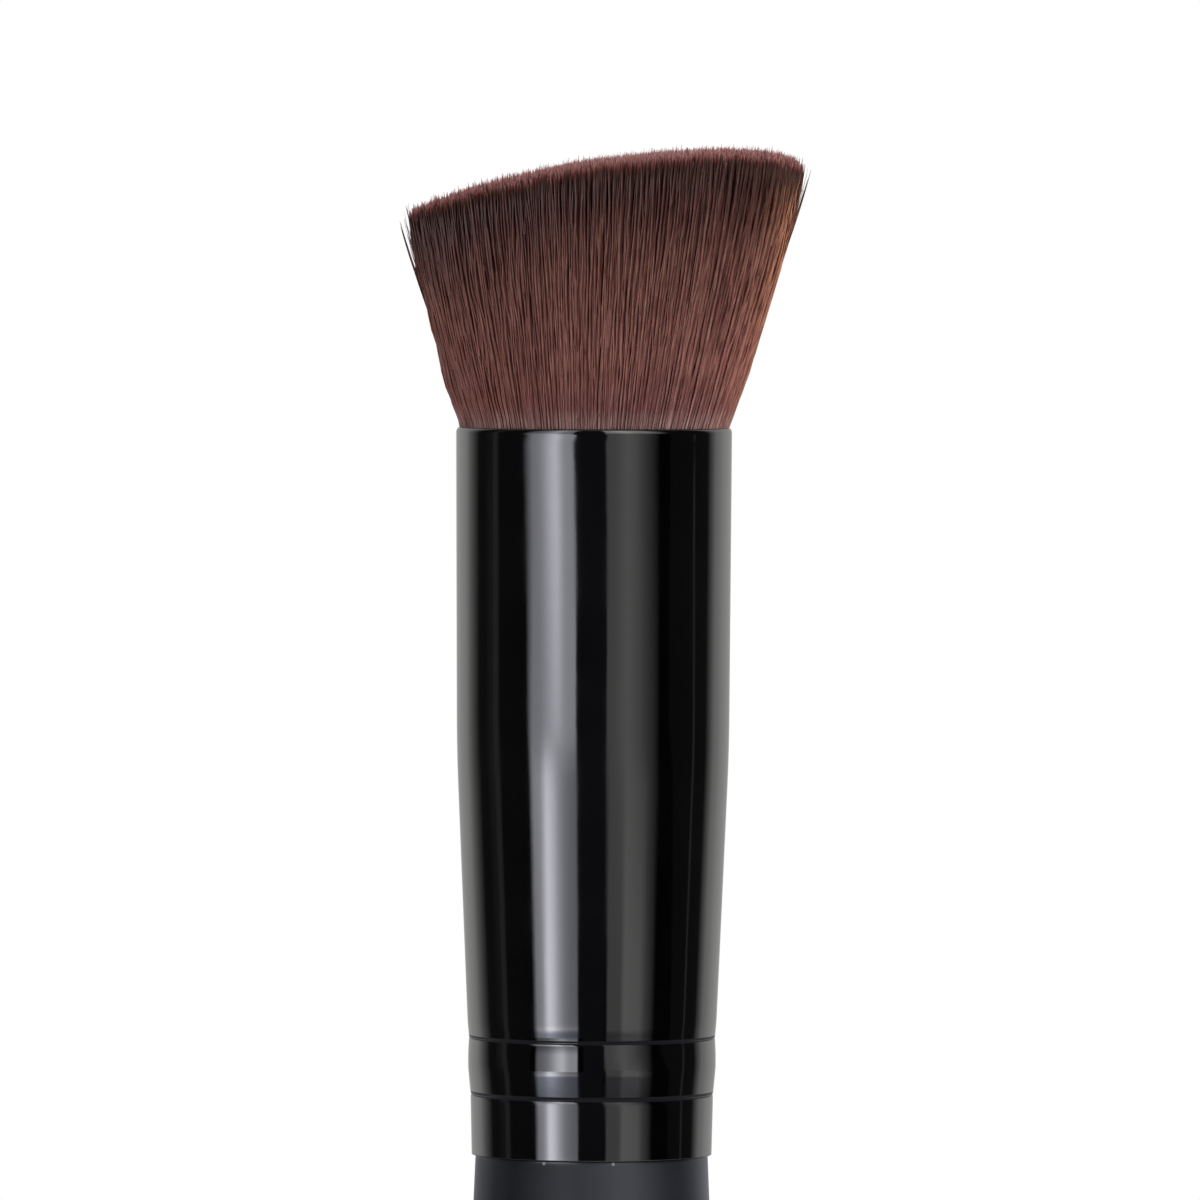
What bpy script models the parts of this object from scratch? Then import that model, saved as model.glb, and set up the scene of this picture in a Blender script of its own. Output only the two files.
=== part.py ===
"""Angled blending brush: a slanted, domed tuft of filaments in a crimped gloss ferrule on a turned handle.

Run it with blender --background --python part.py, or from Blender's text editor.
Metres, +Z up. The origin is the centre of the small flat on the end of the handle, and the brush points up +Z.
The cut of the tuft is highest on its +X side.
"""

import math
import random

import bmesh
import bpy

BRUSH_NAME = "angled_blending_brush"

# Ferrule, a drawn aluminium tube. Heights are above its foot, the end that holds the handle
FERRULE_LENGTH = 0.0527
WALL = 0.0003
MOUTH_RADIUS = 0.0100
BARREL_DRAFT = 0.00013  # radius that the straight barrel loses from its mouth down to the taper
TAPER_LENGTH = 0.0208  # from the upper crimp up to the straight barrel
TAPER_BLEND = 0.0030  # half the length of the soft bend between taper and barrel
FOOT_RADIUS = 0.00870
SKIRT_LENGTH = 0.0045  # foot to lower crimp
SKIRT_FLARE = 0.00010  # radius gained up the skirt
BAND_LENGTH = 0.0040  # lower crimp to upper crimp
BAND_FLARE = 0.00018  # radius gained up the lower half of the band; its upper half is straight
CRIMP_BITE = 0.00024
CRIMP_HALF_WIDTH = 0.00034
CRIMP_FLOOR_HALF_WIDTH = 0.00012

# Handle, turned wood under matt lacquer
GRIP_LENGTH = 0.0880  # end of the handle to the shoulder under the ferrule
FOOT_PROUD = 0.00028  # how far the ferrule's foot stands out past the shoulder
SHOULDER_ROUND = 0.00008
BELLY_RADIUS = 0.0089
BELLY_DROP = 0.0180  # the widest place, below the shoulder
END_RADIUS = 0.0060  # radius that the taper heads for, before the dome closes it
END_DOME_LENGTH = 0.0070
END_FLAT_RADIUS = 0.0015

# Tenon, the spigot of the handle inside the ferrule
TENON_GAP = 0.0003  # between the tenon's seat and the ferrule
SHOULDER_GAP = 0.0003
SEAT_MARGIN = 0.0015  # seat above the upper crimp
PILOT_STEP = 0.0008  # the pilot is this much slimmer than the seat, in radius
PILOT_LENGTH = 0.0080
PILOT_CHAMFER = 0.0010

# Ring of cured glue round the pilot
GLUE_GAP = 0.0003
GLUE_SHORTFALL = 0.0004  # the glue ends this far under the pilot's chamfer

# Tuft. Heights are above the ferrule's mouth, depths below it
BRISTLE_COLUMNS = 18
BRISTLE_ROWS = 17
BRISTLE_GAP = 0.00020  # between neighbours at the root
MOUTH_CLEARANCE = 0.0003  # between the tuft and the ferrule's bore at the mouth
FAN_ANGLE = math.radians(18.2)  # of the outermost filaments to the tuft's own middle line
TUFT_LEAN = math.radians(0.9)  # of that middle line towards the high side of the cut
CUT_HEIGHT = 0.0195  # of the cut, on the brush's axis
CUT_TILT = math.radians(9.4)
CUT_DOME_RADIUS = 0.067
CUT_EDGE_DROP = 0.0015  # how far the cut rounds off below the dome at its highest edge
CUT_EDGE_SHARPNESS = 8  # the higher, the narrower the rounded edge
TIP_SCATTER = 0.00018  # random length, each way
TIP_SWAY = 0.00006  # random place of a tip, each way
ROOT_DEPTH = 0.0050  # mouth down to the top of the glued root
ROOT_LENGTH = 0.0080
SCATTER_SEED = 7

# Tying thread, wound round the root
THREAD_RADIUS = 0.00025
THREAD_PITCH = 0.0011
THREAD_DROP = 0.0010  # top of the glued root down to the first turn
THREAD_GAP = 0.0003  # thread to root, and thread to ferrule
THREAD_POINTS_A_TURN = 24

# Potting plug, epoxy poured behind the root
PLUG_GAP = 0.0003
PLUG_LENGTH = 0.0050
PLUG_COLLAR = 0.0015  # how far its rim climbs round the root
PLUG_MENISCUS = 0.0008  # how far its lower face is hollowed

# Fineness of the meshes
ROUND_STEPS = 48
LIP_STEPS = 4
BLEND_STEPS = 4
BELLY_STEPS = 5
TAPER_STEPS = 9
DOME_STEPS = 6
MENISCUS_STEPS = 4
CUT_SEARCH_STEPS = 12
SHARP_ANGLE = math.radians(35)  # corners sharper than this keep a hard edge in the shading
MERGE_DISTANCE = 0.00001

# Heights of the main places, worked out from the sizes above
FERRULE_FOOT_Z = GRIP_LENGTH + SHOULDER_GAP
MOUTH_Z = FERRULE_FOOT_Z + FERRULE_LENGTH
LOWER_CRIMP = SKIRT_LENGTH
UPPER_CRIMP = SKIRT_LENGTH + BAND_LENGTH
WAIST_RADIUS = FOOT_RADIUS + SKIRT_FLARE + BAND_FLARE
SHOULDER_RADIUS = FOOT_RADIUS - FOOT_PROUD
TUFT_MOUTH_RADIUS = MOUTH_RADIUS - WALL - MOUTH_CLEARANCE

# Finishes: linear colour, roughness, metallic
FINISHES = {
    "gloss_black_lacquer": ((0.006, 0.006, 0.008), 0.10, 0.0),
    "matt_black_lacquer": ((0.035, 0.035, 0.040), 0.48, 0.0),
    "brown_filament": ((0.105, 0.046, 0.038), 0.45, 0.0),
    "tying_thread": ((0.62, 0.58, 0.50), 0.90, 0.0),
    "potting_epoxy": ((0.55, 0.40, 0.18), 0.25, 0.0),
    "wood_glue": ((0.75, 0.66, 0.45), 0.40, 0.0),
}


def clear_scene():
    """Removes whatever the open file holds."""
    for item in list(bpy.data.objects):
        bpy.data.objects.remove(item)


def finish(name):
    """A plain Principled material from the table of finishes."""
    material = bpy.data.materials.get(name)
    if material:
        return material
    colour, roughness, metallic = FINISHES[name]
    material = bpy.data.materials.new(name)
    material.use_nodes = True
    shader = material.node_tree.nodes["Principled BSDF"]
    shader.inputs["Base Color"].default_value = (*colour, 1.0)
    shader.inputs["Roughness"].default_value = roughness
    shader.inputs["Metallic"].default_value = metallic
    return material


def place(item, parent, height, material):
    """Links an object under the brush's empty, at a height on its axis, with its material."""
    item.parent = parent
    item.location = (0.0, 0.0, height)
    item.data.materials.append(finish(material))
    bpy.data.collections[BRUSH_NAME].objects.link(item)
    return item


def arc(radius, height, size, start, end, steps):
    """Points of an arc in the profile plane, as (radius, height), from start to end in degrees."""
    angles = [math.radians(start + (end - start) * i / steps) for i in range(steps + 1)]
    return [(radius + size * math.cos(a), height + size * math.sin(a)) for a in angles]


def shade_round(item):
    """Applies the object's modifiers and shades it smooth, apart from its hard corners."""
    graph = bpy.context.evaluated_depsgraph_get()
    mesh = bpy.data.meshes.new_from_object(item.evaluated_get(graph))
    mesh.shade_smooth()
    mesh.set_sharp_from_angle(angle=SHARP_ANGLE)
    item.modifiers.clear()
    item.data = mesh


def turned(name, profile, parent, height, material):
    """A turned piece: the profile, as (radius, height) down its outer side, swept round Z."""
    closed = profile[0][0] > 0.0
    edges = [(i, i + 1) for i in range(len(profile) - 1)]
    if closed:
        edges.append((len(profile) - 1, 0))
    mesh = bpy.data.meshes.new(name)
    mesh.from_pydata([(radius, 0.0, z) for radius, z in profile], edges, [])
    item = bpy.data.objects.new(name, mesh)
    screw = item.modifiers.new("turn", "SCREW")
    screw.steps = ROUND_STEPS
    screw.render_steps = ROUND_STEPS
    screw.use_merge_vertices = True
    screw.merge_threshold = MERGE_DISTANCE
    place(item, parent, height, material)
    shade_round(item)
    return item


def taper_top():
    """Height at which taper and barrel would meet if the bend between them were sharp."""
    return UPPER_CRIMP + TAPER_LENGTH


def ferrule_knots():
    """Outside of the ferrule without its crimps, as (height, radius) from foot to mouth."""
    barrel_radius = MOUTH_RADIUS - BARREL_DRAFT
    band_middle = (LOWER_CRIMP + UPPER_CRIMP) / 2
    knots = [(0.0, FOOT_RADIUS), (LOWER_CRIMP, FOOT_RADIUS + SKIRT_FLARE)]
    knots += [(band_middle, WAIST_RADIUS), (UPPER_CRIMP, WAIST_RADIUS)]
    reach = min(TAPER_BLEND, TAPER_LENGTH / 2, (FERRULE_LENGTH - taper_top()) / 2)
    low = barrel_radius - (barrel_radius - WAIST_RADIUS) * reach / TAPER_LENGTH
    high = barrel_radius + BARREL_DRAFT * reach / (FERRULE_LENGTH - taper_top())
    for i in range(BLEND_STEPS + 1):
        t = i / BLEND_STEPS
        radius = low * (1 - t) ** 2 + 2 * barrel_radius * t * (1 - t) + high * t**2
        knots.append((taper_top() + reach * (2 * t - 1), radius))
    knots.append((FERRULE_LENGTH, MOUTH_RADIUS))
    return knots


def between(knots, height):
    """Radius at a height, read along straight lines between the knots."""
    for (low, low_radius), (high, high_radius) in zip(knots, knots[1:]):
        if height <= high:
            return low_radius + (high_radius - low_radius) * (height - low) / (high - low)
    return knots[-1][1]


def bore_at(height):
    """Inside radius of the ferrule at a height, clear of the crimps."""
    return between(ferrule_knots(), height) - WALL


def crimp_points(height, inset):
    """One rolled crimp, as (height, radius) from below it to above it, on a skin inset from the outside."""
    knots = ferrule_knots()
    offsets = (-CRIMP_HALF_WIDTH, -CRIMP_FLOOR_HALF_WIDTH, CRIMP_FLOOR_HALF_WIDTH, CRIMP_HALF_WIDTH)
    bites = (0.0, CRIMP_BITE, CRIMP_BITE, 0.0)
    return [(height + dz, between(knots, height + dz) - inset - bite) for dz, bite in zip(offsets, bites)]


def ferrule_skin(inset):
    """Outside or inside of the ferrule from foot to mouth, crimps included, without its rounded lips."""
    plain = [(z, radius - inset) for z, radius in ferrule_knots() if z not in (0.0, LOWER_CRIMP, UPPER_CRIMP)]
    points = plain[:-1] + crimp_points(LOWER_CRIMP, inset) + crimp_points(UPPER_CRIMP, inset)
    return sorted(points)


def make_ferrule(parent):
    """Thin tube with rolled lips, a straight barrel, a taper and two crimps that bite into the tenon."""
    lip = WALL / 2
    outside = [(radius, z) for z, radius in ferrule_skin(0.0)]
    inside = [(radius, z) for z, radius in ferrule_skin(WALL)]
    mouth = arc(MOUTH_RADIUS - lip, FERRULE_LENGTH - lip, lip, 180, 0, LIP_STEPS)
    foot = arc(FOOT_RADIUS - lip, lip, lip, 0, -180, LIP_STEPS)
    profile = mouth + outside[::-1] + foot + inside
    return turned("ferrule", profile, parent, FERRULE_FOOT_Z, "gloss_black_lacquer")


def seat_top():
    """Height above the ferrule's foot at which the tenon steps down to its pilot."""
    return UPPER_CRIMP + CRIMP_HALF_WIDTH + SEAT_MARGIN


def seat_radius():
    """Radius of the tenon above the upper crimp."""
    return bore_at(UPPER_CRIMP) - TENON_GAP


def grip_outline():
    """Outside of the grip from the shoulder down to the flat on its end, as (radius, height)."""
    belly = GRIP_LENGTH - BELLY_DROP
    points = [(SHOULDER_RADIUS - SHOULDER_ROUND, GRIP_LENGTH)]
    for i in range(BELLY_STEPS + 1):
        share = i / BELLY_STEPS
        swell = math.sin(share * math.pi / 2)
        height = GRIP_LENGTH - SHOULDER_ROUND - (BELLY_DROP - SHOULDER_ROUND) * share
        points.append((SHOULDER_RADIUS + (BELLY_RADIUS - SHOULDER_RADIUS) * swell, height))
    heights = [belly + (END_DOME_LENGTH - belly) * i / TAPER_STEPS for i in range(1, TAPER_STEPS + 1)]
    closing = math.acos(END_FLAT_RADIUS / END_RADIUS)
    heights += [END_DOME_LENGTH * (1 - math.sin(closing * i / DOME_STEPS) / math.sin(closing))
                for i in range(1, DOME_STEPS)]
    for height in heights:
        share = (belly - height) / belly
        radius = BELLY_RADIUS + (END_RADIUS - BELLY_RADIUS) * (1 - math.cos(share * math.pi)) / 2
        into_dome = max(0.0, 1 - height / END_DOME_LENGTH)
        points.append((radius * math.sqrt(1 - (into_dome * math.sin(closing)) ** 2), height))
    return points + [(END_FLAT_RADIUS, 0.0), (0.0, 0.0)]


def make_handle(parent):
    """Turned handle: a stepped tenon that carries the ferrule, a shoulder, a soft belly and a domed end."""
    seat = [(radius - TENON_GAP, FERRULE_FOOT_Z + z) for z, radius in ferrule_skin(WALL) if z < seat_top()]
    pilot_radius = seat_radius() - PILOT_STEP
    step_z = FERRULE_FOOT_Z + seat_top()
    top_z = step_z + PILOT_LENGTH
    profile = [(0.0, top_z), (pilot_radius - PILOT_CHAMFER, top_z), (pilot_radius, top_z - PILOT_CHAMFER)]
    profile += [(pilot_radius, step_z), (seat_radius(), step_z)]
    profile += seat[::-1]
    profile.append((FOOT_RADIUS - WALL - TENON_GAP, GRIP_LENGTH))
    profile += grip_outline()
    return turned("handle", profile, parent, 0.0, "matt_black_lacquer")


def make_glue_ring(parent):
    """Cured glue that fills the relief between the tenon's pilot and the ferrule's taper."""
    low = seat_top() + GLUE_GAP
    high = seat_top() + PILOT_LENGTH - PILOT_CHAMFER - GLUE_SHORTFALL
    inner = seat_radius() - PILOT_STEP + GLUE_GAP
    profile = [(inner, high), (bore_at(high) - GLUE_GAP, high), (bore_at(low) - GLUE_GAP, low), (inner, low)]
    return turned("tenon_glue_ring", profile, parent, FERRULE_FOOT_Z, "wood_glue")


def root_bottom():
    """Height of the glued root's underside above the ferrule's foot."""
    return FERRULE_LENGTH - ROOT_DEPTH - ROOT_LENGTH


def root_radius():
    """Radius of the glued root: the bore at its underside, less the thread with its clearance on both sides."""
    return bore_at(root_bottom()) - 2 * (THREAD_GAP + THREAD_RADIUS)


def make_plug(parent):
    """Epoxy behind the tuft's root: a disc with a rim that climbs round the root, and a hollowed lower face."""
    face = root_bottom() - PLUG_GAP
    low = face - PLUG_LENGTH
    cup = root_radius() + PLUG_GAP
    rim = root_bottom() + PLUG_COLLAR
    profile = [(0.0, face), (cup, face), (cup, rim), (bore_at(rim) - PLUG_GAP, rim)]
    edge = bore_at(low) - PLUG_GAP
    for i in range(MENISCUS_STEPS + 1):
        radius = edge * (1 - i / MENISCUS_STEPS)
        profile.append((radius, low + PLUG_MENISCUS * (1 - (radius / edge) ** 2)))
    return turned("root_plug", profile, parent, FERRULE_FOOT_Z, "potting_epoxy")


def thread_points():
    """Middle line of the thread from its upper end down: as many whole turns as the root has room for."""
    radius = root_radius() + THREAD_GAP + THREAD_RADIUS
    room = ROOT_LENGTH - PLUG_COLLAR - THREAD_DROP - THREAD_GAP - 2 * THREAD_RADIUS
    turns = max(1, int(room / THREAD_PITCH))
    points = []
    for i in range(turns * THREAD_POINTS_A_TURN + 1):
        turn = i / THREAD_POINTS_A_TURN
        angle = turn * 2 * math.pi
        height = -ROOT_DEPTH - THREAD_DROP - THREAD_RADIUS - turn * THREAD_PITCH
        points.append((radius * math.cos(angle), radius * math.sin(angle), height))
    lead = 2 * THREAD_RADIUS
    x, y, top = points[0]
    end_height = points[-1][2]
    return [(x, y - lead, top)] + points + [(x, y + lead, end_height)]


def least_gap(points):
    """Least gap between turns of the thread, measured on points that are at least half a turn apart."""
    apart = THREAD_POINTS_A_TURN // 2
    pairs = [(a, b) for i, a in enumerate(points) for b in points[i + apart:]]
    return min(math.dist(a, b) for a, b in pairs) - 2 * THREAD_RADIUS


def make_thread(parent):
    """Thread that ties the filaments together at the root: one helix with straight ends, laid on the root."""
    points = thread_points()
    curve = bpy.data.curves.new("tying_thread", "CURVE")
    curve.dimensions = "3D"
    curve.bevel_depth = THREAD_RADIUS
    curve.bevel_resolution = 1
    curve.use_fill_caps = True
    spline = curve.splines.new("POLY")
    spline.points.add(len(points) - 1)
    for point, at in zip(spline.points, points):
        point.co = (*at, 1.0)
    print("least gap of the thread to itself:", round(least_gap(points), 6), "m")
    item = bpy.data.objects.new("tying_thread", curve)
    return place(item, parent, MOUTH_Z, "tying_thread")


def square_to_disc(u, v):
    """Maps the square -1 to 1 onto the unit disc so that its concentric squares become circles."""
    if not (u or v):
        return 0.0, 0.0
    if abs(u) > abs(v):
        return u * math.cos(math.pi / 4 * v / u), u * math.sin(math.pi / 4 * v / u)
    return v * math.sin(math.pi / 4 * u / v), v * math.cos(math.pi / 4 * u / v)


def tuft_radius(height):
    """Radius of the fanned tuft at a height above the ferrule's mouth."""
    return TUFT_MOUTH_RADIUS + height * math.tan(FAN_ANGLE)


def fanned(x_share, y_share, height):
    """Where the filament with this place in the unit disc is, at a height above the mouth."""
    radius = tuft_radius(height)
    return x_share * radius + height * math.tan(TUFT_LEAN), y_share * radius


def cut_height(x_share, y_share, x, y):
    """Height of the cut over (x, y): a tilted dome that rounds off towards its high edge."""
    rim_share = math.hypot(x_share, y_share)
    high_share = (1 + x_share) / 2
    dome = (x * x + y * y) / (2 * CUT_DOME_RADIUS)
    edge = CUT_EDGE_DROP * high_share * rim_share**CUT_EDGE_SHARPNESS
    return CUT_HEIGHT + x * math.tan(CUT_TILT) - dome - edge


def tip_height(x_share, y_share):
    """Height at which a filament, given by its place in the unit disc, meets the cut. Steps towards it."""
    height = CUT_HEIGHT
    for _ in range(CUT_SEARCH_STEPS):
        height = cut_height(x_share, y_share, *fanned(x_share, y_share, height))
    return height


def root_disc(mesh, radius):
    """The glued root: a disc of one cell for each filament, with a side and an underside. Returns its cells."""
    bmesh.ops.create_grid(mesh, x_segments=BRISTLE_COLUMNS, y_segments=BRISTLE_ROWS, size=1.0)
    cells = list(mesh.faces)
    for vertex in mesh.verts:
        x_share, y_share = square_to_disc(vertex.co.x, vertex.co.y)
        vertex.co = (x_share * radius, y_share * radius, -ROOT_DEPTH)
    rim = [edge for edge in mesh.edges if edge.is_boundary]
    side = bmesh.ops.extrude_edge_only(mesh, edges=rim)["geom"]
    lower = [item for item in side if isinstance(item, bmesh.types.BMVert)]
    bmesh.ops.translate(mesh, verts=lower, vec=(0.0, 0.0, -ROOT_LENGTH))
    bmesh.ops.edgeloop_fill(mesh, edges=[edge for edge in mesh.edges if edge.is_boundary])
    return cells


def make_tuft(parent):
    """All filaments, each a four-sided strand grown from its cell of the root, fanned out and cut to the dome."""
    chance = random.Random(SCATTER_SEED)
    radius = root_radius()
    mesh = bmesh.new()
    cells = root_disc(mesh, radius)
    bmesh.ops.inset_individual(mesh, faces=cells, thickness=BRISTLE_GAP / 2, use_even_offset=True)
    mouths = bmesh.ops.extrude_discrete_faces(mesh, faces=cells)["faces"]
    spread = TUFT_MOUTH_RADIUS / radius
    for vertex in {vertex for mouth in mouths for vertex in mouth.verts}:
        vertex.co = (vertex.co.x * spread, vertex.co.y * spread, 0.0)
    tips = bmesh.ops.extrude_discrete_faces(mesh, faces=mouths)["faces"]
    for tip in tips:
        longer = chance.uniform(-TIP_SCATTER, TIP_SCATTER)
        sway = (chance.uniform(-TIP_SWAY, TIP_SWAY), chance.uniform(-TIP_SWAY, TIP_SWAY))
        for vertex in tip.verts:
            x_share = vertex.co.x / TUFT_MOUTH_RADIUS
            y_share = vertex.co.y / TUFT_MOUTH_RADIUS
            height = tip_height(x_share, y_share) + longer
            x, y = fanned(x_share, y_share, height)
            vertex.co = (x + sway[0], y + sway[1], height)
    bmesh.ops.recalc_face_normals(mesh, faces=mesh.faces)
    data = bpy.data.meshes.new("bristle_tuft")
    mesh.to_mesh(data)
    mesh.free()
    print("filament strands:", len(tips))
    item = bpy.data.objects.new("bristle_tuft", data)
    return place(item, parent, MOUTH_Z, "brown_filament")


def main():
    clear_scene()
    collection = bpy.data.collections.new(BRUSH_NAME)
    bpy.context.scene.collection.children.link(collection)
    brush = bpy.data.objects.new("brush_axis", None)
    collection.objects.link(brush)
    make_handle(brush)
    make_ferrule(brush)
    make_glue_ring(brush)
    make_plug(brush)
    make_thread(brush)
    make_tuft(brush)


main()
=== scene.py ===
# %% [markdown]
# # Angled blending brush
# A face brush has three parts that show: a tuft of dyed filaments, a drawn metal ferrule and a turned handle.
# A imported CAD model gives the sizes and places. This lesson dresses it: smooth turned surfaces replace the
# faceted ones, and twenty thousand single filaments replace the few hundred thick strands.

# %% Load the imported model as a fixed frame
import math

import bpy
import numpy as np
from mathutils import Matrix, Vector


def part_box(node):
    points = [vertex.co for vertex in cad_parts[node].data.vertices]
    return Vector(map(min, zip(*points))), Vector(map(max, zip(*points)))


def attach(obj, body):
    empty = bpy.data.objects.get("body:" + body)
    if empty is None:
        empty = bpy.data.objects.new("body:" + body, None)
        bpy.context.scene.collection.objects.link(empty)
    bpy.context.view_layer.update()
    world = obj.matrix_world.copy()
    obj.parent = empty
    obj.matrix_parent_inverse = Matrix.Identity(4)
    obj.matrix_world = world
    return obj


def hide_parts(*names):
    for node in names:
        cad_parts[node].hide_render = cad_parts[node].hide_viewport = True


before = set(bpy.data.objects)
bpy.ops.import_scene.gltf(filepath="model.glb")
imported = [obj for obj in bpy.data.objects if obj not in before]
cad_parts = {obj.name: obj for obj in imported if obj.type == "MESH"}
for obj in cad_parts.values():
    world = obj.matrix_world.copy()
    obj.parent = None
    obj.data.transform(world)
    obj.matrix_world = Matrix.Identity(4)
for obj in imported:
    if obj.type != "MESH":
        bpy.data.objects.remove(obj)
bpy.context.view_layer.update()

print("nodes:", sorted(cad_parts))

# %% [markdown]
# ## Units, places and colours
# Sizes are written in millimetres, as on a drawing, and turned into Blender's metres where a mesh is made.
# The heights of the ferrule's foot and mouth come from the frame, so the looks follow the CAD.
# Colours are sRGB hex values, as a colour picker gives them, and one function makes them linear.

# %% Units, places and colours
MM = 0.001
AROUND = 256  # steps round a turned piece
SEED = 11

FOOT_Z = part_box("ferrule")[0].z / MM
MOUTH_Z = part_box("ferrule")[1].z / MM
MOUTH_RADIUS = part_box("ferrule")[1].x / MM
HANDLE_TOP_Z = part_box("handle")[1].z / MM
print(f"foot {FOOT_Z:.2f} mm, mouth {MOUTH_Z:.2f} mm, mouth radius {MOUTH_RADIUS:.2f} mm")


def srgb(code):
    """An sRGB hex colour as linear RGBA: to the power 2.4 above the toe, a straight line in it."""
    parts = [int(code[i:i + 2], 16) / 255 for i in (1, 3, 5)]
    return (*[p / 12.92 if p <= 0.04045 else ((p + 0.055) / 1.055) ** 2.4 for p in parts], 1.0)


# %% [markdown]
# ## Small helpers
# Every shape below is worked out as whole numpy arrays, so one helper is enough to put points and faces into
# a mesh. Every finish is a small node tree, so one helper is enough to add a node with its settings and links.

# %% Helpers for meshes and materials
def new_object(name, data):
    """An object at the origin of the scene, with this mesh, lamp or camera."""
    item = bpy.data.objects.new(name, data)
    bpy.context.scene.collection.objects.link(item)
    return item


def new_piece(name, points, faces, uv, material):
    """A mesh from points in mm, arrays of faces (one face a row, corners counter-clockwise seen from outside)
    and a UV array with one row a corner, in the order of the faces. It rides on the brush's body."""
    corners = np.concatenate([group.ravel() for group in faces]).astype(np.int32)
    widths = np.concatenate([np.full(len(group), group.shape[1]) for group in faces])
    mesh = bpy.data.meshes.new(name)
    mesh.vertices.add(len(points))
    mesh.vertices.foreach_set("co", (np.asarray(points) * MM).astype(np.float32).ravel())
    mesh.loops.add(len(corners))
    mesh.loops.foreach_set("vertex_index", corners)
    mesh.polygons.add(len(widths))
    mesh.polygons.foreach_set("loop_start", np.concatenate([[0], np.cumsum(widths)[:-1]]).astype(np.int32))
    mesh.update(calc_edges=True)
    mesh.shade_smooth()
    layer = mesh.uv_layers.new(name="OFBake")
    layer.uv.foreach_set("vector", np.asarray(uv, np.float32).ravel())
    mesh.materials.append(material)
    piece = new_object(name, mesh)
    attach(piece, "root")
    print(f"{name}: {len(points)} points, {int((widths - 2).sum())} triangles")
    return piece


def feed(tree, node, inputs):
    """Gives inputs values or links. A node given as an input stands for its first active output."""
    for key, value in inputs.items():
        if isinstance(value, bpy.types.Node):
            value = next(socket for socket in value.outputs if socket.enabled)
        if isinstance(value, bpy.types.NodeSocket):
            tree.links.new(value, node.inputs[key])
        else:
            node.inputs[key].default_value = value


def add(tree, kind, inputs=None, stops=(), **settings):
    """Adds a node with its settings and inputs. A colour ramp also gets its stops, (place, hex colour)."""
    node = tree.nodes.new("ShaderNode" + kind)
    for key, value in settings.items():
        setattr(node, key, value)
    while stops and len(node.color_ramp.elements) < len(stops):
        node.color_ramp.elements.new(1.0)
    for element, (place, code) in zip(node.color_ramp.elements if stops else (), stops):
        element.position = place
        element.color = srgb(code)
    feed(tree, node, inputs or {})
    return node


def new_material(name, **values):
    """A material named for the real one: a Principled shader whose named sockets have these values, and the
    place on the piece, in metres, that its patterns read."""
    material = bpy.data.materials.new(name)
    material.use_nodes = True
    tree = material.node_tree
    shader = tree.nodes["Principled BSDF"]
    feed(tree, shader, {key.replace("_", " "): value for key, value in values.items()})
    print("finish:", name)
    return material, tree, shader, add(tree, "TexCoord").outputs["Object"]


def patterned(name, kind, inputs, squeeze, stops, depth, **values):
    """A finish with one pattern, which the squeeze draws out along the brush. It picks the colour from the stops
    and lifts the surface by its depth in mm."""
    material, tree, shader, place = new_material(name, **values)
    stretch = add(tree, "Mapping", {"Vector": place, "Scale": (1.0, 1.0, squeeze)})
    pattern = add(tree, kind, {"Vector": stretch, **inputs}).outputs["Fac"]
    colour = add(tree, "ValToRGB", {"Fac": pattern}, stops=stops)
    bump = add(tree, "Bump", {"Height": pattern, "Distance": depth * MM})
    feed(tree, shader, {"Base Color": colour, "Normal": bump})
    return material


# %% [markdown]
# ## Closed skins and turned surfaces
# The ferrule is drawn from sheet and the handle is turned on a lathe, so both are surfaces of revolution.
# A Screw modifier would do it, but a grid of points worked out from a profile gives a clean UV map as well:
# one way round the piece, the other along the profile by its length, so that a pattern isn't stretched.

# %% A closed skin over a grid, and a surface of revolution
def skin(name, grid, material, closed=False):
    """Faces over a grid of points whose rows run up the outside and whose columns go round the piece.

    A closed grid joins its last row to its first. In an open one the first and the last row may be one and the
    same point all along: that is a pole, and gets a fan of triangles. UV is (share of a turn, share of the way).
    """
    path = np.concatenate([grid[:, 0], grid[:closed, 0]])
    run = np.concatenate([[0.0], np.cumsum(np.linalg.norm(np.diff(path, axis=0), axis=1))])
    share = run / run[-1]
    low_pole, high_pole = (not closed and not np.ptp(grid[row], axis=0).any() for row in (0, -1))
    rings = slice(int(low_pole), len(grid) - int(high_pole))
    along = share[rings]
    rows, steps = grid[rings].shape[:2]
    i, j = np.meshgrid(np.arange(rows if closed else rows - 1), np.arange(steps), indexing="ij")
    right, above = (j + 1) % steps, (i + 1) % rows
    quads = np.stack([i * steps + j, i * steps + right, above * steps + right, above * steps + j], -1)
    v_low, v_high = along[i], np.where(above == 0, 1.0, along[above])
    uv = np.stack([np.stack(at, -1) for at in ((j, v_low), (j + 1, v_low), (j + 1, v_high), (j, v_high))], 2)
    points, faces, uvs = [grid[rings].reshape(-1, 3)], [quads.reshape(-1, 4)], [uv.reshape(-1, 2)]
    ring = np.arange(steps)
    ends = ((low_pole, 0, 0, (0, 2, 1)), (high_pole, -1, (rows - 1) * steps, (0, 1, 2)))
    for has_pole, row, first, order in ends:
        if has_pole:
            pole = np.full(steps, sum(len(part) for part in points))
            fan = np.stack([pole, ring + first, (ring + 1) % steps + first], -1)
            fan_uv = [(ring + 0.5, share[row]), (ring, along[row]), (ring + 1, along[row])]
            fan_uv = np.stack([np.stack(np.broadcast_arrays(*at), -1) for at in fan_uv], 1)
            points.append(grid[row, :1])
            faces.append(fan[:, order])
            uvs.append(fan_uv[:, order].reshape(-1, 2))
    return new_piece(name, np.concatenate(points), faces, np.concatenate(uvs) / [steps, 1], material)


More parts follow.
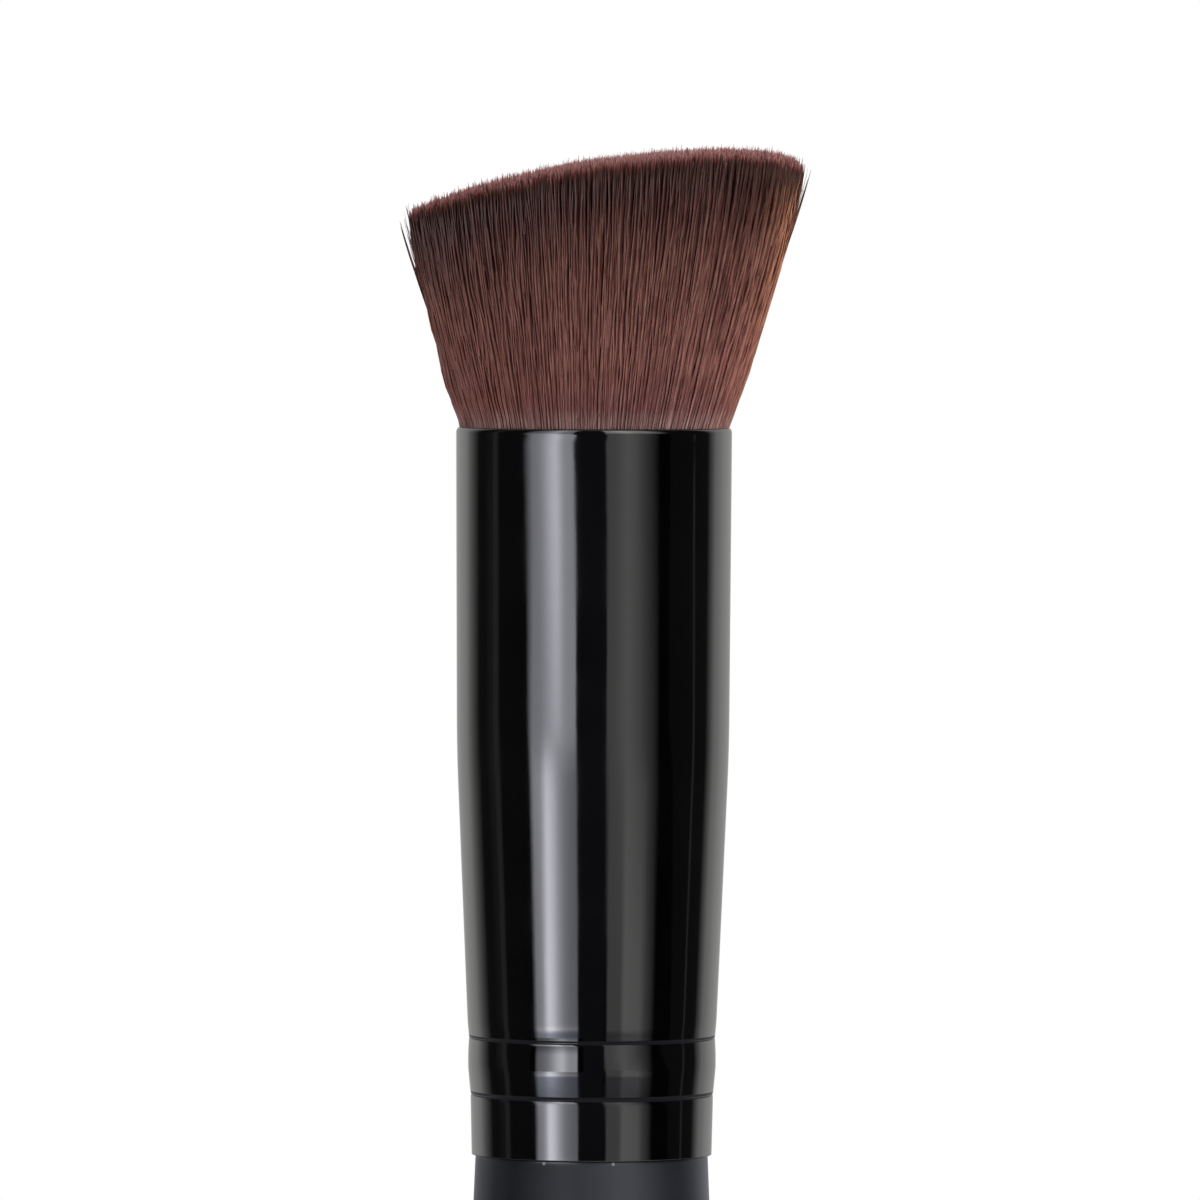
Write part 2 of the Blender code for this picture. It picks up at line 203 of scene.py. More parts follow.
def turned(name, profile, material, closed=False):
    """Point (i, j) is (r_i cos a_j, r_i sin a_j, z_i), with a_j in even steps of a full turn. The profile is rows
    of (radius, height) in mm."""
    radius, height = np.asarray(profile, float).T[:, :, None]
    turn = np.linspace(0, 2 * np.pi, AROUND, endpoint=False)
    grid = np.broadcast_arrays(radius * np.cos(turn), radius * np.sin(turn), height)
    return skin(name, np.stack(grid, -1), material, closed)


def arc(radius, height, size, start, end, steps):
    """Rows of an arc in the profile plane: centre plus size times (cos a, sin a), for a from start to end."""
    a = np.radians(np.linspace(start, end, steps + 1))
    return np.stack([radius + size * np.cos(a), height + size * np.sin(a)], -1)


# %% [markdown]
# ## Gloss black lacquer on a drawn aluminium ferrule
# The ferrule is a thin tube, drawn, trimmed and sprayed gloss black. Black lacquer shows almost nothing of its
# own: the eye reads it from what it mirrors. So the finish needs a clean clear surface with the small faults
# that make it real: the soft waves of orange peel, faint lines from the drawing under them, and a trace of
# handling in the roughness. At the rims the lacquer is thin, and the metal shows a little.

# %% Finish of the ferrule
def gloss_lacquer():
    """Sprayed gloss lacquer: deep black, an index of 1.5, and waves a few thousandths of a millimetre high."""
    material, tree, shader, place = new_material("gloss_black_lacquer_on_aluminium", IOR=1.5)
    height = add(tree, "SeparateXYZ", {"Vector": place}).outputs["Z"]
    # Lacquer creeps off a sharp rim: the last 0.1 mm at the mouth and at the foot is thinner and greyer
    rims = [add(tree, "MapRange", {"Value": height, "From Min": (at - width) * MM, "From Max": at * MM})
            for at, width in ((MOUTH_Z, 0.12), (FOOT_Z, -0.08))]
    rim = add(tree, "Math", dict(enumerate(rims)), operation="MAXIMUM")
    smudge = add(tree, "TexNoise", {"Vector": place, "Scale": 1 / (6 * MM), "Detail": 3.0})
    film = add(tree, "ValToRGB", {"Fac": smudge}, stops=[(0.3, "#020203"), (0.7, "#040405")])
    worn = add(tree, "Mix", {"Factor": rim, "A": film, "B": srgb("#2A2A2C")}, data_type="RGBA")
    handled = add(tree, "MapRange", {
        "Value": smudge, "From Min": 0.35, "From Max": 0.75, "To Min": 0.05, "To Max": 0.10})
    # Orange peel has waves of about 2 mm; the drawing lines run up the tube, 0.45 mm apart and about 20 mm long
    peel = add(tree, "TexNoise", {"Vector": place, "Scale": 1 / (2.2 * MM), "Detail": 2.0})
    stretch = add(tree, "Mapping", {"Vector": place, "Scale": (1.0, 1.0, 0.02)})
    lines = add(tree, "TexNoise", {"Vector": stretch, "Scale": 1 / (0.45 * MM), "Detail": 2.0})
    peel_bump = add(tree, "Bump", {"Height": peel, "Distance": 0.004 * MM})
    bump = add(tree, "Bump", {"Height": lines, "Distance": 0.001 * MM, "Normal": peel_bump})
    feed(tree, shader, {"Base Color": worn, "Roughness": handled, "Normal": bump})
    return material


# %% [markdown]
# ## The ferrule's shape
# From its foot up: a short skirt that flares a little, a crimp, a band whose lower half flares and whose upper
# half is straight, a second crimp, a long taper, a soft bend and a nearly straight barrel with a rounded lip.
# The profile is straight lines between knots, softened by averaging over a short window as the drawing die
# leaves it, with the two crimps cut in as sharp creases.

# %% The ferrule
WALL = 0.30
FOOT_RADIUS = 8.70
LOWER_CRIMP = 4.39  # this and the next two are heights above the foot
BAND_BEND = 6.35
UPPER_CRIMP = 8.50
SKIRT_TOP_RADIUS = 8.80
WAIST_RADIUS = 8.98
TAPER_TOP = 29.3
BARREL_RADIUS = 9.87
FERRULE_LENGTH = MOUTH_Z - FOOT_Z
BEND_SOFTNESS, TAPER_SOFTNESS = 0.16, 1.3  # of the window that rounds a bend
CREASES = ((LOWER_CRIMP, 0.055, 0.11), (UPPER_CRIMP, 0.035, 0.08))  # height, depth, width
DIP_DEPTH, DIP_WIDTH = 0.050, 0.8
LIP_ROUND = 0.23
LIP_HEIGHT = 0.40  # the lip starts to turn in this far below the mouth
TRIM_ROUND = 0.03  # of the cut edge at the foot


def ferrule_radius(height):
    """Straight lines between the knots; near a bend they are averaged over a window, wide at the barrel."""
    knots = np.array([[-LOWER_CRIMP, 2 * FOOT_RADIUS - SKIRT_TOP_RADIUS],  # the skirt, carried on below its end
                      [LOWER_CRIMP, SKIRT_TOP_RADIUS], [BAND_BEND, WAIST_RADIUS], [UPPER_CRIMP, WAIST_RADIUS],
                      [TAPER_TOP, BARREL_RADIUS], [FERRULE_LENGTH, MOUTH_RADIUS]])
    spread = np.where(height > (UPPER_CRIMP + TAPER_TOP) / 2, TAPER_SOFTNESS, BEND_SOFTNESS)
    window = np.linspace(-1.7, 1.7, 9)
    return np.mean([np.interp(height + spread * w, *knots.T) for w in window], axis=0)


def crimps(height):
    """How deep the two crimps bite. Each is a sharp crease: depth times exp(-|height - its height| / width).
    Round the upper one the tool also drew the tube in a little: a bell curve."""
    creases = sum(depth * np.exp(-np.abs(height - at) / width) for at, depth, width in CREASES)
    return creases + DIP_DEPTH * np.exp(-(((height - UPPER_CRIMP) / DIP_WIDTH) ** 2))


def ferrule_profile():
    """Outside up, lip over, inside down and foot back: one closed loop. Rows lie closer at crimps and bends."""
    top, low, inner = FERRULE_LENGTH, 2 * TRIM_ROUND, WALL - LIP_ROUND
    outside = np.unique(np.concatenate([
        np.linspace(low, top - LIP_HEIGHT, 90),
        *[np.linspace(at - 0.35, at + 0.35, 41) for at in (LOWER_CRIMP, UPPER_CRIMP)],
        np.linspace(BAND_BEND - 0.5, BAND_BEND + 0.5, 16), np.linspace(UPPER_CRIMP - 1.6, UPPER_CRIMP + 2, 37)]))
    inside = np.linspace(top - inner, low, 60)
    up = np.stack([ferrule_radius(outside) - crimps(outside), outside], -1)
    down = np.stack([ferrule_radius(inside) - WALL, inside], -1)
    outer_lip = arc(MOUTH_RADIUS - LIP_ROUND, 0, LIP_ROUND, 8, 90, 10) * [1, LIP_HEIGHT / LIP_ROUND]
    outer_lip[:, 1] += top - LIP_HEIGHT
    inner_lip = arc(MOUTH_RADIUS - LIP_ROUND, top - inner, inner, 110, 165, 4)
    foot = [arc(FOOT_RADIUS - WALL + TRIM_ROUND, TRIM_ROUND, TRIM_ROUND, 190, 270, 4),
            arc(FOOT_RADIUS - TRIM_ROUND, TRIM_ROUND, TRIM_ROUND, 270, 350, 4)]
    return np.concatenate([up, outer_lip, inner_lip, down, *foot]) + [0, FOOT_Z]


ferrule = turned("lacquered_ferrule", ferrule_profile(), gloss_lacquer(), closed=True)
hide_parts("ferrule")

# %% [markdown]
# ## Matt charcoal lacquer on turned wood
# The handle is turned hardwood, sanded, sealed and sprayed with a matt charcoal lacquer. The matting agent
# makes a wide soft sheen, and the wood's grain still shows through as very fine lines along the handle.

# %% Finish of the handle
SHOULDER_RADIUS = 8.42
GLUE_SPECKS = ((-24.0, 0.09), (10.7, 0.08))  # degrees from the camera, radius in mm
SPECK_DROP = 0.21  # below the ferrule's foot


def matt_lacquer():
    """Matt lacquer: charcoal with a trace of blue, rough enough for a wide sheen, with filled grain under it."""
    material, tree, shader, place = new_material("matt_charcoal_lacquer_on_wood", IOR=1.48)
    # Wood fibres: 0.25 mm apart across the grain, about 12 mm long
    stretch = add(tree, "Mapping", {"Vector": place, "Scale": (1.0, 1.0, 0.02)})
    grain = add(tree, "TexNoise", {
        "Vector": stretch, "Scale": 1 / (0.25 * MM), "Detail": 4.0, "Roughness": 0.6})
    cloud = add(tree, "TexNoise", {"Vector": place, "Scale": 1 / (9 * MM), "Detail": 3.0})
    film = add(tree, "ValToRGB", {"Fac": cloud}, stops=[(0.3, "#191B21"), (0.7, "#1E2026")])
    lifted = add(tree, "ValToRGB", {"Fac": grain}, stops=[(0.25, "#E9E9E9"), (0.75, "#FFFFFF")])
    tone = add(tree, "Mix", {"Factor": 1.0, "A": film, "B": lifted}, data_type="RGBA", blend_type="MULTIPLY")
    # Two specks of glue, squeezed out at the joint when the ferrule was pressed on
    specks = []
    for azimuth, size in GLUE_SPECKS:
        a = math.radians(azimuth)
        at = Vector((SHOULDER_RADIUS * math.sin(a), -SHOULDER_RADIUS * math.cos(a), FOOT_Z - SPECK_DROP)) * MM
        away = add(tree, "VectorMath", {0: place, 1: at}, operation="DISTANCE")
        specks.append(add(tree, "MapRange", {"Value": away, "From Min": 1.6 * size * MM,
                                                       "From Max": size * MM}))
    speck = add(tree, "Math", dict(enumerate(specks)), operation="MAXIMUM")
    spotted = add(tree, "Mix", {"Factor": speck, "A": tone, "B": srgb("#8F8E8B")}, data_type="RGBA")
    sheen = add(tree, "MapRange", {
        "Value": cloud, "From Min": 0.3, "From Max": 0.7, "To Min": 0.29, "To Max": 0.35})
    # The spray's own texture: grains of about 0.2 mm
    spray = add(tree, "TexNoise", {"Vector": place, "Scale": 1 / (0.24 * MM), "Detail": 2.0})
    spray_bump = add(tree, "Bump", {"Height": spray, "Distance": 0.004 * MM})
    bump = add(tree, "Bump", {"Height": grain, "Distance": 0.004 * MM, "Normal": spray_bump})
    feed(tree, shader, {"Base Color": spotted, "Roughness": sheen, "Normal": bump})
    return material


def bare_wood():
    """Unlacquered beech: pale, dry and matt, with short dark flecks along the grain."""
    return patterned("bare_beech", "TexNoise", {"Scale": 1 / (0.5 * MM), "Detail": 4.0}, 0.08,
                     [(0.3, "#A97F57"), (0.7, "#D2AC80")], 0.02, IOR=1.45, Roughness=0.75)


# %% [markdown]
# ## The handle's shape
# A quarter sine swells the grip from its shoulder to the belly, a half cosine draws it in towards the end, and
# a dome closes it down to the small flat that the lathe leaves. The tenon above the shoulder is bare wood
# inside the ferrule, a piece of its own with its own finish.

# %% The handle and its tenon
GRIP_LENGTH = FOOT_Z - 0.03  # the shoulder meets the ferrule's foot with a hairline of shadow
SHOULDER_ROUND = 0.07
BELLY_RADIUS = 8.90
BELLY_DROP = 18.0
END_RADIUS = 6.0
END_DOME_LENGTH = 7.0
END_FLAT_RADIUS = 1.5
SEAT_RADIUS = 8.38
SEAT_TOP = 10.3  # above the ferrule's foot
SEAT_FULL = 1.5  # the seat has its full radius over its last millimetres only
SKIRT_SLACK = 0.3  # the seat is slimmer by this inside the skirt
PILOT_RADIUS = 7.55
PILOT_CHAMFER = 1.0


def grip_radius(height):
    """Sine swell above the belly, cosine draw-in below it, and an ellipse over the last millimetres."""
    belly = GRIP_LENGTH - BELLY_DROP
    swell = np.sin(np.clip((GRIP_LENGTH - height) / BELLY_DROP, 0, 1) * np.pi / 2)
    upper = SHOULDER_RADIUS + (BELLY_RADIUS - SHOULDER_RADIUS) * swell
    draw = (1 - np.cos(np.clip((belly - height) / belly, 0, 1) * np.pi)) / 2
    lower = BELLY_RADIUS + (END_RADIUS - BELLY_RADIUS) * draw
    closing = math.sin(math.acos(END_FLAT_RADIUS / END_RADIUS))
    dome = np.sqrt(1 - (np.clip(1 - height / END_DOME_LENGTH, 0, 1) * closing) ** 2)
    return np.where(height > belly, upper, lower * dome)


def handle_profile():
    """From the flat on the end up the grip to the rounded shoulder, and in towards the tenon."""
    dome = END_DOME_LENGTH * (1 - np.cos(np.linspace(0, np.pi / 2, 14)))
    grip = np.concatenate([dome, np.linspace(END_DOME_LENGTH, GRIP_LENGTH - SHOULDER_ROUND, 70)[1:]])
    side = np.stack([grip_radius(grip), grip], -1)
    shoulder = arc(SHOULDER_RADIUS - SHOULDER_ROUND, GRIP_LENGTH - SHOULDER_ROUND, SHOULDER_ROUND, 15, 90, 5)
    end = [[0.0, 0.0], [END_FLAT_RADIUS * 0.9, 0.0]]
    return np.concatenate([end, side, shoulder, [[PILOT_RADIUS, GRIP_LENGTH], [0.0, GRIP_LENGTH]]])


def tenon_profile():
    """The bare spigot: a seat under the crimps, a step in to the pilot, and a chamfered top."""
    low, seat, slim = GRIP_LENGTH + 0.02, FOOT_Z + SEAT_TOP, SEAT_RADIUS - SKIRT_SLACK
    return [[0.0, low], [slim, low], [slim, FOOT_Z + LOWER_CRIMP], [SEAT_RADIUS, seat - SEAT_FULL],
            [SEAT_RADIUS, seat], [PILOT_RADIUS, seat], [PILOT_RADIUS, HANDLE_TOP_Z - PILOT_CHAMFER],
            [PILOT_RADIUS - PILOT_CHAMFER, HANDLE_TOP_Z], [0.0, HANDLE_TOP_Z]]


handle = turned("lacquered_handle", handle_profile(), matt_lacquer())
tenon = turned("handle_tenon", tenon_profile(), bare_wood())
for piece in (handle, tenon):
    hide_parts("handle")

# %% [markdown]
# ## Where each filament goes
# A tuft is cut from a round bundle: the filaments stand packed side by side in the ferrule and fan out above
# it. So a filament is known by its place in the bundle, a point in the unit disc. A sunflower spiral fills a
# disc evenly, and a little chance takes its pattern away. The disc then scales with the tuft's radius.

# %% Shape of the tuft
TUFT_MOUTH_RADIUS = 9.54  # at the ferrule's mouth
MOUTH_SWELL, SWELL_HEIGHT = 0.34, 0.8  # the bundle swells as soon as it is free of the ferrule
FAN_SLOPE = 0.285  # radius gained for each millimetre of height
TIP_CURL, CURL_START = 0.007, 9.0  # the outer filaments bend back upright near their tips
LOW_SIDE_CURL = 0.6
LEAN = 0.023  # of the whole tuft towards the high side of the cut
CUT_HEIGHT = 19.19
CUT_SLOPE = 0.163
CUT_DOME_RADIUS = 62.5  # along the slope
CUT_ACROSS_RADIUS = 700.0  # across it, where the cut is nearly flat
CUT_EDGE_DROP, LOW_EDGE_SHARE = 0.85, 0.15  # at the high edge, and how much of it the other edges have
SEARCH_STEPS = 12
JITTER = 0.45  # of the distance between neighbours, about


def tuft_radius(height, side=0.0):
    """Mouth radius, a quick swell above it, a straight fan, less a parabola near the tips. The parabola is
    stronger on the low side, by LOW_SIDE_CURL times the square of how far out (-1 to 1) a filament is."""
    free = np.maximum(height, 0.0)
    swell = MOUTH_SWELL * (1 - np.exp(-free / SWELL_HEIGHT))
    curl = TIP_CURL * (1 + LOW_SIDE_CURL * np.minimum(side, 0.0) ** 2)
    return TUFT_MOUTH_RADIUS + swell + FAN_SLOPE * free - curl * np.maximum(height - CURL_START, 0.0) ** 2


def tip_heights(share):
    """Where filaments meet the cut, a tilted dome with a rounded high edge. Found by stepping towards it."""
    height = np.full(len(share), CUT_HEIGHT)
    rim = np.hypot(*share.T)
    edge = CUT_EDGE_DROP * (LOW_EDGE_SHARE + (1 - LOW_EDGE_SHARE) * np.clip(share[:, 0], 0, 1) ** 4) * rim ** 8
    for _ in range(SEARCH_STEPS):
        x, y = (share * tuft_radius(height, share[:, 0])[:, None]).T
        x = x + LEAN * height
        dome = x * x / (2 * CUT_DOME_RADIUS) + y * y / (2 * CUT_ACROSS_RADIUS)
        height = CUT_HEIGHT + CUT_SLOPE * x - dome - edge
    return height


def sunflower(count, chance):
    """Places in the unit disc: the k-th lies at radius sqrt(k / count), a golden angle on from the last."""
    k = np.arange(count) + 0.5
    turn = k * math.pi * (3 - math.sqrt(5))
    share = np.stack([np.cos(turn), np.sin(turn)], -1) * np.sqrt(k / count)[:, None]
    share += chance.normal(0, JITTER / math.sqrt(count), share.shape)
    return share / np.maximum(np.hypot(*share.T), 1.0)[:, None]


# %% [markdown]
# ## Filaments as thin tubes
# Hair curves would render well, but a mesh keeps its shape in any program. Each filament is a three-sided tube
# with few rings, and smooth shading makes it look round. All of them are made at once: the arrays have one row
# a filament, one column a ring. The UV map gives each filament its own narrow strip.

# %% Filaments as thin tubes
FILAMENT_RADIUS = 0.095  # real ones are nearer 0.04; each of these stands for a few that cling together
ROOT_THINNING, THIN_HEIGHT = 0.85, 6.0  # they are thinner at the ferrule, where they are pressed together
TIP_THINNING, TIP_LENGTH = 0.16, 1.4
SIDES = 3
WALL_STEPS = np.linspace(0, 1, 15)
CROWN_STEPS = [0.0, 0.7, 1.0]
FREE_LENGTH = 20.0  # of a filament above the ferrule, about
STRAYING = 0.10  # mm that a filament's tip is off its place, about
STRAY_SHAPE, STRAY_POWER = 1.3, 1.6  # of the gamma draw, and of its growth with the height
WAVES = ((0.065, 7.0, 14.0), (0.045, 3.5, 6.5))  # size of a wave, its shortest and its longest length, mm
WAVE_GROWTH = 6  # the waves have grown to their full size at a sixth of the free length
# Ripples that draw filaments into locks: size in mm, how many round the bundle, how far and how often their
# spacing changes, and mm of height for each radian that they turn
LOCKS = ((0.06, 23, 3, 5, 5), (0.05, 57, 2, 9, -3))
STRIP_SHAPE = 14  # a filament's strip of the UV map is this much higher than wide


def filament_lines(share, tips, low, steps, chance):
    """Middle lines, one row a filament and one column a ring.

    A ring's place is the filament's share of the tuft's radius at its height, plus the tuft's lean. Chance then
    bends it: an offset that grows with a power of the height, and two waves along its length, which let
    it come out between its neighbours and go under them again.
    """
    count = len(share)
    height = low[:, None] + (tips - low)[:, None] * np.array(steps)
    line = share[:, None, :] * tuft_radius(height, share[:, :1])[:, :, None]
    line[:, :, 0] += LEAN * height
    free = np.clip(height / FREE_LENGTH, 0.0, None)[:, :, None]
    size = chance.gamma(STRAY_SHAPE, STRAYING, count)
    way = chance.uniform(0, 2 * np.pi, count)
    line += (np.stack([np.cos(way), np.sin(way)], -1) * size[:, None])[:, None, :] * free ** STRAY_POWER
    for size, shortest, longest in WAVES:
        wave = chance.normal(0, size, (count, 1, 2))
        start = chance.uniform(0, 2 * np.pi, (count, 1))
        wavelength = chance.uniform(shortest, longest, (count, 1))
        sway = np.sin(start + 2 * np.pi * height / wavelength)[:, :, None]
        line += wave * sway * np.clip(free * WAVE_GROWTH, 0, 1)
    # Neighbours stick together a little: a slow ripple round the bundle draws them into locks
    turn = np.arctan2(share[:, 1], share[:, 0])[:, None]
    pull = sum(size * np.sin(ripples * turn + swing * np.sin(often * turn) + height / rise)
               for size, ripples, swing, often, rise in LOCKS)
    across = np.stack([-np.sin(turn), np.cos(turn)], -1)
    line += across * (pull[:, :, None] * free * np.hypot(*share.T)[:, None, None])
    return np.concatenate([line, height[:, :, None] + MOUTH_Z], axis=-1)


def tubes(name, lines, radii, values, material):
    """Closed tubes along the lines: a ring is centre + r (cos a n + sin a b), with n and b square to the line.
    Each named value becomes an attribute with one number a ring."""
    count, rings = lines.shape[:2]
    along = np.gradient(lines, axis=1)
    along /= np.linalg.norm(along, axis=-1, keepdims=True)
    n = np.array([1.0, 0.0, 0.0]) - along[..., :1] * along
    n /= np.linalg.norm(n, axis=-1, keepdims=True)
    b = np.cross(along, n)
    a = 2 * np.pi * np.arange(SIDES) / SIDES
    ring = n[:, :, None] * np.cos(a)[:, None] + b[:, :, None] * np.sin(a)[:, None]
    points = lines[:, :, None] + ring * radii[:, :, None, None]
    first = np.arange(count)[:, None, None] * rings * SIDES
    i, j = np.meshgrid(np.arange(rings - 1), np.arange(SIDES), indexing="ij")
    low, up, following = i * SIDES, (i + 1) * SIDES, (j + 1) % SIDES
    quads = first + np.stack([low + j, low + following, up + following, up + j], -1).reshape(1, -1, 4)
    caps = first + np.array([[2, 1, 0], (rings - 1) * SIDES + np.arange(SIDES)])[None]
    # Strips stand side by side in rows; a tube's two end caps lie under and over its side
    wide = math.ceil(math.sqrt(count * STRIP_SHAPE))
    high = math.ceil(count / wide)
    corner = np.stack([np.arange(count) % wide, np.arange(count) // wide], -1)[:, None]
    u = np.stack([j, j + 1, j + 1, j], -1) / SIDES * 0.9 + 0.05
    v = np.stack([i, i, i + 1, i + 1], -1) / (rings - 1) * 0.94 + 0.03
    side = np.stack([u, v], -1).reshape(1, -1, 2)
    end = np.array([[0.05, 0.0], [0.95, 0.0], [0.5, 0.03], [0.05, 0.97], [0.95, 0.97], [0.5, 1.0]])
    uv = np.concatenate([(corner + part).reshape(-1, 2) for part in (side, end)]) / [wide, high]
    piece = new_piece(name, points.reshape(-1, 3), [quads.reshape(-1, 4), caps.reshape(-1, 3)], uv, material)
    for key, value in values.items():
        attribute = piece.data.attributes.new(key, "FLOAT", "POINT")
        attribute.data.foreach_set("value", np.repeat(value.ravel(), SIDES).astype(np.float32))
    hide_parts("bristle_tuft")


# %% [markdown]
# ## Dyed synthetic filament
# The filaments are extruded polyester, dyed in the piece. Their colour is red-brown at the very tips, darker in a
# band a few millimetres under them, and a paler mauve-brown towards the ferrule. Every filament takes the dye a
# little differently, which gives the streaks; the short pale flecks along each are painted highlights, which stand
# in for the glints of light on the wavy filaments. Attributes carry this: the distance from the tip, how far the
# red dip reached, and a number that is each filament's own.

# %% Finish of the filaments
# From the tip down over the free length: darker a few millimetres under the tips, paler towards the ferrule
BODY_STOPS = [(0, "#704D46"), (0.05, "#65453A"), (0.12, "#6C463C"), (0.16, "#784A40"), (0.26, "#926055"),
              (0.36, "#A97366"), (0.56, "#B97E73"), (0.76, "#C5877E"), (0.87, "#BA807B")]
DIP_STOPS = [(0.0, "#F2D0CF"), (0.30, "#CC8886"), (0.62, "#99534C"), (1.0, "#5E3A35")]
# Each filament's own dye, and pale flecks along it that are painted highlights for glints on the wavy filaments
GLINT_AND_DYE_STOPS = [(0.26, "#98817F"), (0.42, "#BFADA9"), (0.5, "#CCC1BD"), (0.58, "#D7CECC"), (0.72, "#F1F5F3")]


def dyed_filament():
    """Extruded polyester: an index of 1.57 and a soft shine, coloured in zones that are measured from the tip."""
    material, tree, shader, place = new_material("dyed_polyester_filament", IOR=1.57, Roughness=0.46,
                                                 Specular_IOR_Level=0.35, Sheen_Tint=srgb("#FFB088"))
    from_tip, own, dip = [add(tree, "Attribute", attribute_name=key).outputs["Fac"]
                          for key in ("from_tip", "own", "dip")]
    zone = add(tree, "MapRange", {"Value": from_tip, "From Max": FREE_LENGTH})
    body = add(tree, "ValToRGB", {"Fac": zone}, stops=BODY_STOPS)
    dip_share = add(tree, "Math", {0: from_tip, 1: dip}, operation="DIVIDE")
    red = add(tree, "ValToRGB", {"Fac": dip_share}, stops=DIP_STOPS)
    dipped = add(tree, "MapRange", {
        "Value": dip_share, "From Min": 0.85, "From Max": 1.1, "To Min": 1.0, "To Max": 0.0})
    # The last millimetre above the ferrule is paler, with a bloom of glue and of lint
    height = add(tree, "SeparateXYZ", {"Vector": place}).outputs["Z"]
    bloom = add(tree, "MapRange", {
        "Value": height, "From Min": (MOUTH_Z + 1.5) * MM, "From Max": (MOUTH_Z + 0.35) * MM})
    bloomed = add(tree, "Mix", {"Factor": bloom, "A": body, "B": srgb("#D3ABA5")}, data_type="RGBA")
    zoned = add(tree, "Mix", {"Factor": dipped, "A": bloomed, "B": red}, data_type="RGBA")
    # How each one took the dye, with changes along it that are about 2 mm long. The pale ones are painted highlights
    # that stand in for glints of light on the wavy filaments; the rest is the dye's own unevenness.
    spot = add(tree, "CombineXYZ", {"X": own, "Y": from_tip})
    scaled = add(tree, "Mapping", {"Vector": spot, "Scale": (900.0, 0.7, 1.0)})
    glint_and_dye_noise = add(tree, "TexNoise", {"Vector": scaled, "Scale": 1.0, "Detail": 1.0})
    took = add(tree, "Mix", {"Factor": 0.8, "A": own, "B": glint_and_dye_noise}, data_type="FLOAT")
    glint_and_dye_tint = add(tree, "ValToRGB", {"Fac": took}, stops=GLINT_AND_DYE_STOPS)
    dyed = add(tree, "Mix", {"Factor": 1.0, "A": zoned, "B": glint_and_dye_tint}, data_type="RGBA", blend_type="MULTIPLY")
    # The outermost filaments scatter side light forwards: a warm sheen along the bundle's edges, strongest high
    # up, where they stand freer. The way out of the bundle, not each one's own normal, says where the edges are
    radial = add(tree, "VectorMath", {0: place, 1: (1.0, 1.0, 0.0)}, operation="MULTIPLY")
    radial = add(tree, "VectorMath", {0: radial}, operation="NORMALIZE")
    facing = add(tree, "LayerWeight", {"Normal": radial}).outputs["Facing"]
    sheen = add(tree, "MapRange", {"Value": facing, "From Min": 0.45, "From Max": 0.75})
    freer = add(tree, "MapRange", {
        "Value": from_tip, "From Min": 9.0, "From Max": 17.0, "To Min": 1.0, "To Max": 0.35})
    below_cut = add(tree, "MapRange", {"Value": from_tip, "From Min": 0.9, "From Max": 3.0})
    paler = add(tree, "MapRange", {
        "Value": took, "From Min": 0.38, "From Max": 0.62, "To Min": 0.35, "To Max": 1.6})
    for factor in (freer, below_cut, paler):
        sheen = add(tree, "Math", {0: sheen, 1: factor}, operation="MULTIPLY")
    feed(tree, shader, {"Base Color": dyed, "Sheen Weight": sheen})
    # Light comes through a single filament, and turns orange on the way: it shows at the tuft's sides
    warm = add(tree, "Mix", {"Factor": 1.0, "A": dyed, "B": srgb("#FFBE8C")}, data_type="RGBA",
               blend_type="MULTIPLY")
    through = add(tree, "BsdfTranslucent", {"Color": warm})
    both = add(tree, "MixShader", {0: 0.35, 1: shader, 2: through})
    feed(tree, tree.nodes["Material Output"], {"Surface": both})
    return material


FILAMENT = dyed_filament()

# %% [markdown]
# ## The tuft
# Only the outer wall and the cut face of the bundle can be seen. So the filaments of the wall run their whole
# length, those further in are modelled for their last few millimetres, and a plain core fills the rest, as the
# dense middle of the bundle does. Sectors keep each piece small.

# %% The tuft's filaments
FILAMENT_COUNT = 20000
WALL_SHARE = 0.80  # filaments further out than this share of the radius run their whole length
CROWN_DEPTH = 6.0
ROOT_DROP = -2.0  # the wall's filaments start this far inside the ferrule
WALL_SECTORS, CROWN_SECTORS = 8, 4
RAGGED_LOW, RAGGED_HIGH = 0.21, 0.17  # the cut is a little less even on its low side
SPIKY_SHARE, SPIKY_LENGTH = 0.01, (0.05, 0.25)  # a few that the scissors left longer, and by how much
# How far the red reaches down from the tips: (x in mm, reach in mm), and how much each one's own reach differs
RED_REACH = ((-13, 0.46), (-7, 0.60), (-3, 0.80), (4, 0.80), (9, 0.62), (13, 0.52))
REACH_CHANCE = (0.8, 1.15)

chance = np.random.default_rng(SEED)
shares = sunflower(FILAMENT_COUNT, chance)
spiky = chance.random(FILAMENT_COUNT) < SPIKY_SHARE
ragged = np.where(shares[:, 0] < 0, RAGGED_LOW, RAGGED_HIGH)
tips = tip_heights(shares) + chance.normal(0.0, 1.0, FILAMENT_COUNT) * ragged
tips += spiky * chance.uniform(*SPIKY_LENGTH, FILAMENT_COUNT)
in_wall = np.hypot(*shares.T) > WALL_SHARE
starts = np.where(in_wall, ROOT_DROP, tips - CROWN_DEPTH)


def filament_piece(name, chosen, steps):
    """One piece of the tuft from the chosen filaments: lines, radii, and the values that the finish reads."""
    lines = filament_lines(shares[chosen], tips[chosen], starts[chosen], steps, chance)
    height = lines[:, :, 2] - MOUTH_Z
    from_tip = tips[chosen][:, None] + MOUTH_Z - lines[:, :, 2]
    thin = np.interp(height, [0.0, THIN_HEIGHT], [ROOT_THINNING, 1.0])
    radii = FILAMENT_RADIUS * thin * np.interp(from_tip, [0.0, TIP_LENGTH], [TIP_THINNING, 1.0])
    rings = lines.shape[1]
    own = np.repeat(chance.random(len(lines))[:, None], rings, 1)
    reach = np.interp(lines[:, -1:, 0], *zip(*RED_REACH))
    dip = np.repeat(reach * chance.uniform(*REACH_CHANCE, (len(lines), 1)), rings, 1)
    tubes(name, lines, radii, {"from_tip": from_tip, "own": own, "dip": dip}, FILAMENT)


